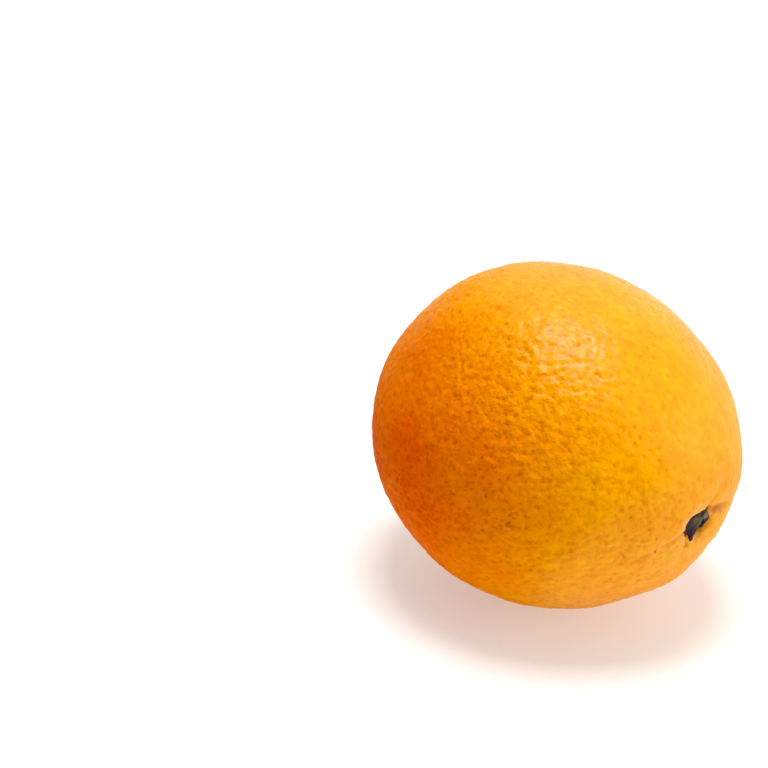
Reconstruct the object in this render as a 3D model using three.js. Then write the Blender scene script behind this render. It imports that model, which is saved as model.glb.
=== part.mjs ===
// A navel orange lying on its side: the fruit with its folded navel, the dried remnant that plugs
// the navel, and the button (calyx and cut stem) at the other end.
// Millimetres, +Z up. The origin is the centre of the small flat spot that the fruit rests on,
// and +X runs along the fruit's long axis towards the navel end.

import * as THREE from "three";
import { mergeVertices } from "three/addons/utils/BufferGeometryUtils.js";

// Fruit: an oval body, longer than it is wide
const LENGTH = 85.5;
const DIAMETER = 76;
const REST_DEPTH = 0.85; // how far the peel gives way at the flat spot it rests on
const LATTICE_DETAIL = 23; // cuts along each edge of the icosahedron that becomes the peel
const END_DRAW = 0.6; // share by which the lattice is drawn together at the fruit's two ends
const END_REACH = 0.4; // how far round from an end that goes, in radians

// Unevenness of the peel: places that stand out or are flattened, then waves all over
const PATCHES = [
  { height: -0.7, width: 10, towards: [-0.67, -0.43, 0.61] },
  { height: -0.6, width: 15, towards: [0.63, 0.36, 0.69] },
  { height: -0.5, width: 11, towards: [0.74, -0.28, -0.61] },
  { height: 0.7, width: 10, towards: [0.92, 0.39, -0.08] },
  { height: 0.5, width: 10, towards: [-0.45, -0.1, 0.88] },
  { height: -0.9, width: 4.5, towards: [0.92, 0.35, -0.18] },
  { height: 0.9, width: 6, towards: [0.83, 0, -0.56] },
];
const SWELLS = [
  { height: 0.14, length: 34, towards: [0.8, -0.5, 0.5], phase: 2.1 },
  { height: 0.12, length: 23, towards: [-0.4, 0.6, 0.8], phase: 4.0 },
  { height: 0.09, length: 15, towards: [0.7, 0.7, -0.3], phase: 1.2 },
];

// Navel: an oval hole off the end of the long axis, among folded lobes, with a shallow dish beside it.
// Angles round the navel run from level (0) to straight up (90), as seen from outside.
const NAVEL_BELOW_AXIS_DEG = 7;
const NAVEL_ASIDE_DEG = -3.4;
const HOLE_LENGTH = 9.6;
const HOLE_WIDTH = 5;
const HOLE_TURN_DEG = -30;
const HOLE_SKEW = -0.1; // share by which the hole is longer on the leaning side
const HOLE_DEPTH = 3.6;
const HOLE_WALL = 0.6;
const LEANING_SIDE_DEG = 142; // the side whose lobes swell and lean over the hole
const LEANING_FROM = 3; // distance from the middle at which that begins to show
const LIP_HEIGHT = 0.9;
const LIP_WIDTH = 2.6;
const LIP_OVERHANG = 0.4;
const OVERHANG_WIDTH = 1.5;
const DISH_RADIUS = 6.5; // the dish lies on the other side
const DISH_DEPTH = 1.3;
const DISH_WALL = 2.2;
const COLLAR_HEIGHT = 0.45; // the swollen end of the fruit round the navel
const COLLAR_RADIUS = 13;
const COLLAR_WIDTH = 5;

// Furrows between the lobes: each leaves the hole at one angle and curls to another
const FURROWS = [
  { start: 36, end: 0, curl: 4.2, depth: 1.2, reach: 9, width: 1.0 },
  { start: 36, end: 57, curl: 5.0, depth: 1.4, reach: 6, width: 0.9 },
  { start: 190, end: 197, curl: 1.5, depth: 1.4, reach: 7.5, width: 0.9 },
  { start: 222, end: 255, curl: 1.2, depth: 1.3, reach: 6, width: 0.9 },
  { start: 297, end: 297, curl: 1.0, depth: 0.5, reach: 4, width: 1.4 },
];
const FURROW_NICK = 0.6; // how far a furrow 1 mm deep cuts back the hole's edge

// Stem end: a shallow dimple with a raised shoulder and faint radial folds
const DIMPLE_DEPTH = 2.4;
const DIMPLE_WIDTH = 6.5;
const SHOULDER_HEIGHT = 0.6;
const SHOULDER_RADIUS = 11;
const SHOULDER_WIDTH = 5;
const STEM_FOLDS = 9;
const STEM_FOLD_DEPTH = 0.45;

// Pores: pits pressed into the peel, larger and fewer than life
const PORE_SPACING = 3.3;
const PORE_DEPTH = [0.16, 0.34];
const PORE_SEED = 7;

// Button: five blunt sepals round a cut stem
const GAP = 0.3; // clearance between touching pieces
const SEPALS = 5;
const SEPAL_TIP_RADIUS = 4.6;
const SEPAL_NOTCH_RADIUS = 3.5;
const SEPAL_THICKNESS = 0.9;
const STEM_RADIUS = 1.6;
const STEM_HEIGHT = 1.1;

// Remnant: the dried style that plugs the navel's hole
const REMNANT_FILL = 0.8; // its width as a share of the hole's
const REMNANT_THICKNESS = 2.2;
const REMNANT_TOP = -1; // height of its top against the plain end of the fruit
const REMNANT_CRUMPLE = 0.15;

const MATERIALS = {
  peel: new THREE.MeshStandardMaterial({ color: 0xf59a12, roughness: 0.42, metalness: 0 }),
  button: new THREE.MeshStandardMaterial({ color: 0x6f6b3a, roughness: 0.85, metalness: 0 }),
  remnant: new THREE.MeshStandardMaterial({ color: 0x2b2420, roughness: 0.9, metalness: 0 }),
};

const HALF_LENGTH = LENGTH / 2;
const HALF_WIDTH = DIAMETER / 2;
const REST_HEIGHT = HALF_WIDTH - REST_DEPTH; // the fruit's centre above the surface
const radians = THREE.MathUtils.degToRad;

// The core's own axes: out through the navel, level across it, and up
const CORE = (() => {
  const below = radians(NAVEL_BELOW_AXIS_DEG);
  const aside = radians(NAVEL_ASIDE_DEG);
  const out = new THREE.Vector3(
    Math.cos(below) * Math.cos(aside),
    Math.cos(below) * Math.sin(aside),
    -Math.sin(below),
  );
  const across = new THREE.Vector3(0, 0, 1).cross(out).normalize();
  const up = out.clone().cross(across);
  return { out, across, up };
})();

// Distance from the fruit's centre to the plain oval body, along a unit direction
function bodyRadius(n) {
  return 1 / Math.hypot(n.x / HALF_LENGTH, n.y / HALF_WIDTH, n.z / HALF_WIDTH);
}

const NAVEL_RADIUS = bodyRadius(CORE.out);
const STEM_END = CORE.out.clone().negate();

// Goes smoothly from 0, well outside an edge, to 1, well inside it
function inside(edge, distance, softness) {
  return 0.5 + 0.5 * Math.tanh((edge - distance) / softness);
}

function bump(distance, centre, width) {
  return Math.exp(-(((distance - centre) / width) ** 2));
}

function unevenness(n) {
  let height = 0;
  for (const patch of PATCHES) {
    const away = n.angleTo(new THREE.Vector3(...patch.towards)) * HALF_WIDTH;
    height += patch.height * bump(away, 0, patch.width);
  }
  for (const wave of SWELLS) {
    const along = n.dot(new THREE.Vector3(...wave.towards).normalize()) * HALF_WIDTH;
    height += wave.height * Math.sin((2 * Math.PI * along) / wave.length + wave.phase);
  }
  return height;
}

// Distance from the middle of the navel's hole to its wall
function holeRadius(angle) {
  const turn = angle - radians(HOLE_TURN_DEG);
  const oval = 0.5 / Math.hypot(Math.cos(turn) / HOLE_LENGTH, Math.sin(turn) / HOLE_WIDTH);
  return oval * (1 + HOLE_SKEW * Math.cos(angle - radians(LEANING_SIDE_DEG)));
}

function furrowDepth(distance, angle) {
  const beyond = Math.max(0, distance - holeRadius(angle));
  let depth = 0;
  for (const furrow of FURROWS) {
    const bend = (furrow.start - furrow.end) * Math.exp(-beyond / furrow.curl);
    const turn = angle - radians(furrow.end + bend);
    const aside = Math.abs(Math.atan2(Math.sin(turn), Math.cos(turn))) * distance;
    depth += furrow.depth * Math.exp(-aside / furrow.width - (beyond / furrow.reach) ** 2);
  }
  return depth;
}

// The navel's relief at a distance from its middle: how far the peel stands out, and how far it leans in
function navelRelief(distance, angle) {
  const leaning = Math.cos(angle - radians(LEANING_SIDE_DEG)) * (1 - bump(distance, 0, LEANING_FROM));
  const furrow = furrowDepth(distance, angle);
  const edge = holeRadius(angle) + FURROW_NICK * furrow;
  const hole = HOLE_DEPTH * inside(edge, distance, HOLE_WALL);
  const dish = DISH_DEPTH * 0.5 * (1 - leaning) * inside(DISH_RADIUS, distance, DISH_WALL);
  const lip = LIP_HEIGHT * (0.6 + 0.4 * leaning) * bump(distance, edge + LIP_WIDTH, LIP_WIDTH);
  const collar = COLLAR_HEIGHT * bump(distance, COLLAR_RADIUS, COLLAR_WIDTH);
  const overhang = bump(distance, edge + 0.8 * OVERHANG_WIDTH, OVERHANG_WIDTH);
  const lean = LIP_OVERHANG * Math.max(0, leaning) * overhang;
  return { rise: lip + collar - dish - hole - furrow, lean };
}

function stemRelief(distance, angle) {
  const dimple = DIMPLE_DEPTH * bump(distance, 0, DIMPLE_WIDTH);
  const shoulder = SHOULDER_HEIGHT * bump(distance, SHOULDER_RADIUS, SHOULDER_WIDTH);
  const fold = (0.5 + 0.5 * Math.cos(STEM_FOLDS * angle + 1.3 * Math.sin(2 * angle))) ** 3;
  return shoulder - dimple - STEM_FOLD_DEPTH * fold * bump(distance, SHOULDER_RADIUS - 2, SHOULDER_WIDTH);
}

// A point of the peel, from the angle off the navel's axis and the angle round it
function peelPoint(off, round) {
  const tangent = CORE.across.clone().multiplyScalar(Math.cos(round));
  tangent.addScaledVector(CORE.up, Math.sin(round));
  const n = CORE.out.clone().multiplyScalar(Math.cos(off)).addScaledVector(tangent, Math.sin(off));
  const navel = navelRelief(off * NAVEL_RADIUS, round);
  const stem = stemRelief((Math.PI - off) * NAVEL_RADIUS, round);
  const point = n.clone().multiplyScalar(bodyRadius(n) + unevenness(n) + navel.rise + stem);
  return { point: point.addScaledVector(tangent, -navel.lean), n, off };
}

// A repeatable stream of numbers from 0 to 1
function seeded(seed) {
  let state = seed;
  return () => {
    state = (state * 1664525 + 1013904223) % 4294967296;
    return state / 4294967296;
  };
}

// Presses pores into some of the peel's points, no two closer than the spacing
function pressPores(spots) {
  const random = seeded(PORE_SEED);
  const order = spots.map((spot) => ({ spot, turn: random() })).sort((a, b) => a.turn - b.turn);
  const clearOfNavel = DISH_RADIUS / NAVEL_RADIUS;
  const clearOfButton = Math.PI - (SEPAL_TIP_RADIUS + 1.5) / NAVEL_RADIUS;
  const pressed = [];
  for (const { spot } of order) {
    if (spot.off < clearOfNavel || spot.off > clearOfButton) continue;
    if (pressed.some((other) => other.distanceTo(spot.point) < PORE_SPACING)) continue;
    pressed.push(spot.point.clone());
    spot.point.addScaledVector(spot.n, -THREE.MathUtils.lerp(...PORE_DEPTH, random()));
  }
}

function onlyPositions(geometry) {
  geometry.deleteAttribute("normal");
  geometry.deleteAttribute("uv");
  return mergeVertices(geometry, 1e-4);
}

// How far a point of the lattice is drawn towards an end of the fruit that lies this angle away
function drawnTo(away) {
  return END_DRAW * away * bump(away, 0, END_REACH);
}

function makeFruit() {
  const geometry = onlyPositions(new THREE.IcosahedronGeometry(1, LATTICE_DETAIL));
  const position = geometry.getAttribute("position");
  const spots = [];
  for (let i = 0; i < position.count; i += 1) {
    const d = new THREE.Vector3().fromBufferAttribute(position, i);
    const even = Math.acos(THREE.MathUtils.clamp(d.z, -1, 1));
    const off = even - drawnTo(even) + drawnTo(Math.PI - even);
    spots.push(peelPoint(off, Math.atan2(d.y, d.x)));
  }
  pressPores(spots);
  spots.forEach(({ point }, i) => {
    position.setXYZ(i, point.x, point.y, Math.max(0, point.z + REST_HEIGHT));
  });
  geometry.computeVertexNormals();
  const fruit = new THREE.Mesh(geometry, MATERIALS.peel);
  fruit.name = "fruit";
  return fruit;
}

// Height of the dimple's floor above the plain end of the fruit, at a distance from the stem
function dimpleFloor(distance) {
  const flattening = (distance * distance * HALF_LENGTH) / (2 * HALF_WIDTH * HALF_WIDTH);
  return -DIMPLE_DEPTH * bump(distance, 0, DIMPLE_WIDTH) - flattening;
}

function makeButton() {
  const sides = 40;
  const underside = (r) => dimpleFloor(r) + unevenness(STEM_END) + 2 * GAP;
  const topside = (r) => underside(r) + SEPAL_THICKNESS * (1 - 0.35 * (r / SEPAL_TIP_RADIUS) ** 2);
  const stemTop = topside(0) + STEM_HEIGHT;
  const outline = [
    new THREE.Vector2(0, underside(0)),
    new THREE.Vector2(2.2, underside(2.2)),
    new THREE.Vector2(SEPAL_TIP_RADIUS - 0.4, underside(SEPAL_TIP_RADIUS)),
    new THREE.Vector2(SEPAL_TIP_RADIUS, (underside(SEPAL_TIP_RADIUS) + topside(SEPAL_TIP_RADIUS)) / 2),
    new THREE.Vector2(SEPAL_TIP_RADIUS - 0.4, topside(SEPAL_TIP_RADIUS)),
    new THREE.Vector2(STEM_RADIUS + 0.9, topside(2.5)),
    new THREE.Vector2(STEM_RADIUS + 0.15, topside(1.5) + 0.5),
    new THREE.Vector2(STEM_RADIUS, stemTop - 0.2),
    new THREE.Vector2(STEM_RADIUS - 0.25, stemTop),
    new THREE.Vector2(0, stemTop - 0.15),
  ];
  const geometry = onlyPositions(new THREE.LatheGeometry(outline, sides));
  const position = geometry.getAttribute("position");
  for (let i = 0; i < position.count; i += 1) {
    const [x, height, z] = [position.getX(i), position.getY(i), position.getZ(i)];
    const radius = Math.hypot(x, z);
    const lobe = (0.5 + 0.5 * Math.cos(SEPALS * Math.atan2(z, x))) ** 0.7;
    const outer = THREE.MathUtils.smoothstep(radius, STEM_RADIUS + 0.2, SEPAL_TIP_RADIUS);
    const reach = THREE.MathUtils.lerp(SEPAL_NOTCH_RADIUS / SEPAL_TIP_RADIUS, 1, lobe);
    const scale = THREE.MathUtils.lerp(1, reach, outer);
    const settle = underside(radius * scale) - underside(radius);
    position.setXYZ(i, x * scale, height + settle * outer, z * scale);
  }
  geometry.computeVertexNormals();
  const button = new THREE.Mesh(geometry, MATERIALS.button);
  button.name = "stem_button";
  button.position.copy(STEM_END).multiplyScalar(NAVEL_RADIUS);
  button.position.z += REST_HEIGHT;
  button.quaternion.setFromUnitVectors(new THREE.Vector3(0, 1, 0), STEM_END);
  return button;
}

function makeRemnant() {
  const geometry = onlyPositions(new THREE.IcosahedronGeometry(1, 7));
  const position = geometry.getAttribute("position");
  for (let i = 0; i < position.count; i += 1) {
    const d = new THREE.Vector3().fromBufferAttribute(position, i);
    const reach = REMNANT_FILL * holeRadius(Math.atan2(d.y, d.x));
    const creased = REMNANT_CRUMPLE * Math.sin(4 * d.x + 3 * d.y) * Math.cos(5 * d.y - 2 * d.x);
    position.setXYZ(i, reach * d.x, reach * d.y, 0.5 * REMNANT_THICKNESS * (d.z + creased));
  }
  geometry.computeVertexNormals();
  const remnant = new THREE.Mesh(geometry, MATERIALS.remnant);
  remnant.name = "navel_remnant";
  const level = REMNANT_TOP - 0.5 * REMNANT_THICKNESS;
  remnant.position.copy(CORE.out).multiplyScalar(NAVEL_RADIUS + unevenness(CORE.out) + level);
  remnant.position.z += REST_HEIGHT;
  const basis = new THREE.Matrix4().makeBasis(CORE.across, CORE.up, CORE.out);
  remnant.quaternion.setFromRotationMatrix(basis);
  return remnant;
}

const orange = new THREE.Group();
orange.add(makeFruit(), makeButton(), makeRemnant());

export default orange;
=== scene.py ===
import math

import bpy
import numpy as np
from mathutils import Matrix, Vector, noise


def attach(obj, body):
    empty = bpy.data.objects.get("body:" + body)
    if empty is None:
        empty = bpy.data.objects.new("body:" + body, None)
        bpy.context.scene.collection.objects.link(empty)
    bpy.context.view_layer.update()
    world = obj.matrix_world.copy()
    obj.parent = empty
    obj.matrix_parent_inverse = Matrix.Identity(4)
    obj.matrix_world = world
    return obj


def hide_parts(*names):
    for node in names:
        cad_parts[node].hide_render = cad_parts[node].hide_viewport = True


bl_info = {
    "name": "Navel orange",
    "version": (1, 0, 0),
    "blender": (4, 5, 0),
    "location": "View3D > Sidebar > Orange",
    "description": "A navel orange lying on its side: peel, navel remnant, stem button and stage",
    "category": "Add Mesh",
}

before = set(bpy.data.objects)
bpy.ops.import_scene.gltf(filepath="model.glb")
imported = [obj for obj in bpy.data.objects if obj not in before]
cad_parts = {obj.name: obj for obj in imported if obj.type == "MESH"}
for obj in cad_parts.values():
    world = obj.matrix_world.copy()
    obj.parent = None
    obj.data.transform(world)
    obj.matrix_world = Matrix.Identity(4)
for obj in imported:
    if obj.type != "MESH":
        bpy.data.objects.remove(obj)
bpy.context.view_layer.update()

MM = 0.001

# Unevenness of the peel, in millimetres: places that stand out or are flattened, then waves all over
PATCHES = [
    {"height": -0.7, "width": 10, "towards": (-0.67, -0.43, 0.61)},
    {"height": -0.6, "width": 15, "towards": (0.63, 0.36, 0.69)},
    {"height": -0.5, "width": 11, "towards": (0.74, -0.28, -0.61)},
    {"height": 0.7, "width": 10, "towards": (0.92, 0.39, -0.08)},
    {"height": 0.5, "width": 10, "towards": (-0.45, -0.1, 0.88)},
    {"height": -0.9, "width": 4.5, "towards": (0.92, 0.35, -0.18)},
    {"height": 0.9, "width": 6, "towards": (0.83, 0.0, -0.56)},
]
SWELLS = [
    {"height": 0.14, "length": 34, "towards": (0.8, -0.5, 0.5), "phase": 2.1},
    {"height": 0.12, "length": 23, "towards": (-0.4, 0.6, 0.8), "phase": 4.0},
    {"height": 0.09, "length": 15, "towards": (0.7, 0.7, -0.3), "phase": 1.2},
]

# Navel, in millimetres and degrees; seen from outside, angles round it run from level to straight up
NAVEL_BELOW_AXIS = math.radians(7)
NAVEL_ASIDE = math.radians(-3.4)
HOLE_LENGTH = 9.6
HOLE_WIDTH = 5.0
HOLE_TURN = math.radians(-30)
HOLE_SKEW = -0.1
HOLE_DEPTH = 3.6
HOLE_WALL = 0.6
LEANING_SIDE = math.radians(142)
LEANING_FROM = 3
LIP_HEIGHT = 0.9
LIP_WIDTH = 2.6
LIP_EVEN = 0.6  # share of the lip that stands all round, the rest being on the leaning side
LIP_OVERHANG = 0.4
OVERHANG_PLACE = 1.2
OVERHANG_WIDTH = 1.5
DISH_RADIUS = 6.5
DISH_DEPTH = 1.3
DISH_WALL = 2.2
COLLAR_HEIGHT = 0.45
COLLAR_RADIUS = 13
COLLAR_WIDTH = 5
FURROWS = [
    {"start": 36, "end": 0, "curl": 4.2, "depth": 1.2, "reach": 9, "width": 1.0},
    {"start": 36, "end": 57, "curl": 5.0, "depth": 1.4, "reach": 6, "width": 0.9},
    {"start": 190, "end": 197, "curl": 1.5, "depth": 1.4, "reach": 7.5, "width": 0.9},
    {"start": 222, "end": 255, "curl": 1.2, "depth": 1.3, "reach": 6, "width": 0.9},
    {"start": 297, "end": 297, "curl": 1.0, "depth": 0.5, "reach": 4, "width": 1.4},
]
FURROW_NICK = 0.6
FURROW_SHADE = 0.5  # how much a furrow 1 mm deep counts as a fold
# Painted highlight: the lips' edges and the furrows' edges are drawn paler where they catch the light.
LIP_HIGHLIGHT_PLACE = 1.8
LIP_HIGHLIGHT_WIDTH = 1.1
FURROW_EDGE_HIGHLIGHT = 0.4  # how pale the furrows' edges are
FURROW_EDGE_HIGHLIGHT_DEPTH = 0.3
FURROW_EDGE_HIGHLIGHT_WIDTH = 0.2

# Stem end, in millimetres
DIMPLE_DEPTH = 2.4
DIMPLE_WIDTH = 6.5
SHOULDER_HEIGHT = 0.6
SHOULDER_RADIUS = 11
SHOULDER_WIDTH = 5
STEM_FOLDS = 9
STEM_FOLD_DEPTH = 0.45
STEM_FOLD_RADIUS = 9
STEM_FOLD_STRAY = 1.3
STEM_FOLD_SHARPNESS = 3
UNDER_BUTTON = 5.0  # the peel is smooth within this distance of the stem
UNDER_BUTTON_EDGE = 0.8

# How coarse the peel's grain is: a share all over, and more or less at these places, millimetres wide
FINE_SHARE = 0.5
COARSE = [
    {"share": 0.35, "width": 24, "towards": (0.2, -0.6, 0.75)},
    {"share": 0.4, "width": 24, "towards": (0.2, -0.95, 0.1)},
    {"share": 0.3, "width": 11, "towards": (0.9, -0.4, -0.1)},
    {"share": -0.42, "width": 18, "towards": (0.05, 0.2, 0.98)},
    {"share": -0.35, "width": 16, "towards": (0.85, 0.15, 0.5)},
]

# Peel lattice: a cube's faces cut this often, drawn closer together at both ends of the core
LATTICE_CUTS = 128
END_DRAW = 0.45
END_REACH = 0.45
MERGE_STEPS = 1e6  # points of two faces that fall on the same of these steps are one

# Pores: most to a square metre before they are spaced out, and their least and greatest size
PORE_DENSITY = 3e6
PORE_SIZES = (0.55, 1.3)

# Peel colours; scales are to a metre, and the blush runs between two shares of the half-width. The blush is
# partly the peel's own colour and partly painted shade and light: deeper and redder on the dim side, paler
# on the lit side.
PEEL_BLOTCHES = {"broad": 70.0, "fine": 420.0}
BLOTCH_RUN = (0.32, 0.68)
BLUSH_AND_LIGHT_TOWARDS = (0.35, 0.93, 0.0)
BLUSH_AND_SHADE_RUN = (-1.16, -0.22)
BLUSH_PATCHES = 0.2
SPECKLE_SHARE = 0.3
PORE_RUN = (0.2, 1.1)
PORE_SHARE = 0.5
LIP_HIGHLIGHT_SHARE = 0.6
# Painted shade in the navel's folds fades in over this run of the fold mask.
FOLD_SHADE_RUN = (0.25, 1.0)

# Grain too fine for the mesh: sand and ragged hollows, which raise the peel's bumps and darken its hollows
# as painted shade
STRAY_SCALE = 900.0
STRAY_REACH = 0.002
SAND_SCALE = 1200.0
SAND_SHARE = 0.6
GRAIN_SCALE = 650.0
HOLLOW_SHADE_RUN = (0.3, 0.75)
HOLLOW_SHADE_SHARE = 0.5
GRAIN_RELIEF = 0.00042

# Gloss: dull low down and smoother on top, by height in metres. Each waxed place has a direction,
# along which the wax begins and is full at these shares of the half-width.
GLOSS_HEIGHTS = (0.045, 0.068)
GLOSS_ROUGHNESS = (0.6, 0.24)
GLOSS_PATCHES = 0.08
PEEL_SPECULAR = 0.06
PEEL_IOR = 1.45
WAX_ROUGHNESS = 0.36
WAXED = [
    {"towards": (0.45, 0.35, 0.82), "begins": 0.3, "full": 0.75},
    {"towards": (0.85, -0.1, -0.5), "begins": 0.6, "full": 0.95},
]

# Marks on the peel, and painted shadows by the navel: a spot in millimetres from the fruit's centre, its
# radius and its colour
MARKS_AND_SHADOWS = [
    {"spot": (10.8, -36.6, 2.9), "radius": 0.9, "colour": "e08a58", "strength": 0.45},
    {"spot": (12.1, -36.3, 3.2), "radius": 0.8, "colour": "b44a06", "strength": 0.6},
    {"spot": (17.5, -34.7, -2.0), "radius": 1.0, "colour": "a84c04", "strength": 0.7},
    {"spot": (16.8, -35.0, -2.9), "radius": 0.7, "colour": "e8965c", "strength": 0.6},
    {"spot": (18.4, -34.4, -0.4), "radius": 0.8, "colour": "b86206", "strength": 0.6},
    {"spot": (39.8, -9.5, -10.9), "radius": 2.6, "colour": "b8b020", "strength": 0.22},
    {"spot": (39.1, -13.3, -8.3), "radius": 0.8, "colour": "9a5208", "strength": 0.7},
    # Darker brown along the furrow beside the navel.
    {"spot": (41.7, 3.2, -4.2), "radius": 1.5, "colour": "a0561c", "strength": 0.7},
    {"spot": (41.9, 4.6, -4.0), "radius": 1.7, "colour": "c4702c", "strength": 0.6},
    {"spot": (42.0, 6.1, -4.1), "radius": 1.4, "colour": "d08038", "strength": 0.45},
    # Painted shadow: brown and olive shade on the peel just below the navel's remnant.
    {"spot": (40.2, 0.6, -9.3), "radius": 1.5, "colour": "b06a18", "strength": 0.55},
    {"spot": (40.3, -0.4, -10.1), "radius": 1.7, "colour": "c47c1c", "strength": 0.45},
    {"spot": (40.0, -3.4, -10.6), "radius": 1.4, "colour": "a87418", "strength": 0.5},
]
MARK_AND_SHADOW_CORE = 0.3  # share of a mark's radius that has its full strength

# Dried plant matter of the remnant and the button
DRY_BLOTCHES = {"broad": 700.0, "fine": 2600.0}
DRY_SHADE = "120d0c"
DRY_SHADE_SHARE = 0.45
DRY_STAIN_SHARES = (0.65, 1.0)
DRY_ROUGHNESS = (0.6, 0.85)
DRY_RELIEF = 0.00015
DRY_RELIEF_STRENGTH = 0.6
CRUMPLE_FADE = 0.9
CRUMPLE_STEP = 2.1
CRUMPLE_LAYERS = 4

# Remnant, in millimetres and degrees round the navel: tails that cling to the peel, and spots on its top
REMNANT_CUTS = 48
REMNANT_TOP = -1.0
REMNANT_CRUMPLES = 2.2
CRUMPLE_HEIGHT = 0.4
FRAYED_SHARE = 0.04
CLING = 0.3
CLING_CRUMPLE = 0.1
EDGE_TUCK = 2.5
EDGE_TUCK_SHARPNESS = 8
TAILS = [
    {"angle": 140, "length": -0.8, "width": 45},
    {"angle": 214, "length": 0.8, "width": 16},
    {"angle": 268, "length": 2.4, "width": 11},
    {"angle": 303, "length": -1.6, "width": 13},
    {"angle": 352, "length": 1.9, "width": 10},
]
PIT = {"spot": (2.75, -1.4), "angle": -38, "length": 1.0, "width": 0.75}
FLAKE = {"spot": (1.25, -0.55), "angle": 63, "length": 1.1, "width": 0.35}
MOULD = {"spot": (0.3, 0.5), "angle": 0, "length": 1.3, "width": 0.8}
HUSK = {"spot": (3.8, 0.2), "angle": 20, "length": 1.4, "width": 0.9}
SPOT_FADE = 3  # how fast the spots fade in above the remnant's edge
PIT_DEPTH = 1.2
# Painted shade: the pit in the remnant is drawn near black, as the shade deep inside it.
PIT_SHADE_COLOUR = "050404"
FLAKE_HEIGHT = 0.4
TIP_FROM = 4.6
TIP_EDGE = 0.3

# Button, in millimetres: five blunt sepals that lie on the peel round a cut stem
SEPALS = 5
SEPAL_NOTCH = 3.5
SEPAL_NOTCH_CURVE = 1.5
SEPAL_BLUNTNESS = 0.7
SEPAL_STRAY = [{"reach": 0.09, "waves": 2, "phase": 0.7}, {"reach": 0.05, "waves": 3, "phase": 0.0}]
SEPAL_THICKNESS = 0.9
SEPAL_THINNING = 0.55
SEPAL_EDGE = 0.25
SEPAL_EDGE_TURN = (0.3, 2.8)
SEPAL_FOOT = 0.6
SEPAL_ROOT = 0.2
STEM_HEIGHT = 1.1
STEM_HOLLOW = 0.3
STEM_NECK = [(0.3, 0.15), (0.1, 0.4)]  # out from the stem's side and up from the sepals
STEM_BEVEL = [(0.0, 0.25), (0.05, 0.08), (0.2, 0.0)]  # in from the stem's side and down from the cut
STEM_RIM = 0.35
BUTTON_GAP = 0.2
BUTTON_CORE = 0.05
BUTTON_SIDES = 150
BELOW_ROWS = 12
EDGE_ROWS = 6
ABOVE_ROWS = 16
HOLLOW_ROWS = 8
BUTTON_CRUMPLES = 1.4
BUTTON_CRUMPLE_HEIGHT = 0.22
VEINS_TO_SEPAL = 6
VEIN_STRAY = 2
VEIN_FADE = 0.7
VEIN_HEIGHT = 0.16
RIDGE_HEIGHT = 0.3
WITHERED_TIPS = 1.3
WITHERED_SHARPNESS = 4
WITHERED_PATCHES = 0.5

# Stage: the floor's half-width in metres, its glow that rises with distance, and the light
FLOOR_REACH = 6.0
FLOOR_BLOTCHES = {"broad": 3.0, "fine": 40.0}
FLOOR_STAIN = "c0bcb6"
FLOOR_STAIN_SHARE = 0.015
FLOOR_ROUGHNESS = (0.55, 0.65)
GLOW_RISE = (0.3, 2.5)
GLOW_FAR = 1.0
SOFTBOXES = [
    {"name": "overhead_softbox", "turn": 0, "height": 89, "distance": 1.0, "size": 0.35},
    {"name": "right_softbox", "turn": 70, "height": 5, "distance": 1.0, "size": 0.8},
]
ROOM_BRIGHT_SIDE = (0.3, 0.7, 0.65)
ROOM_RUN = (-0.6, 0.8)
WHITE = (1, 1, 1, 1)
CAMERA_NEAR = 0.01


def colour(code):
    """A linear RGBA colour from a code such as ffa010."""
    channels = [int(code[i:i + 2], 16) / 255 for i in (0, 2, 4)]
    return [c / 12.92 if c <= 0.04045 else ((c + 0.055) / 1.055) ** 2.4 for c in channels] + [1.0]


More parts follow.
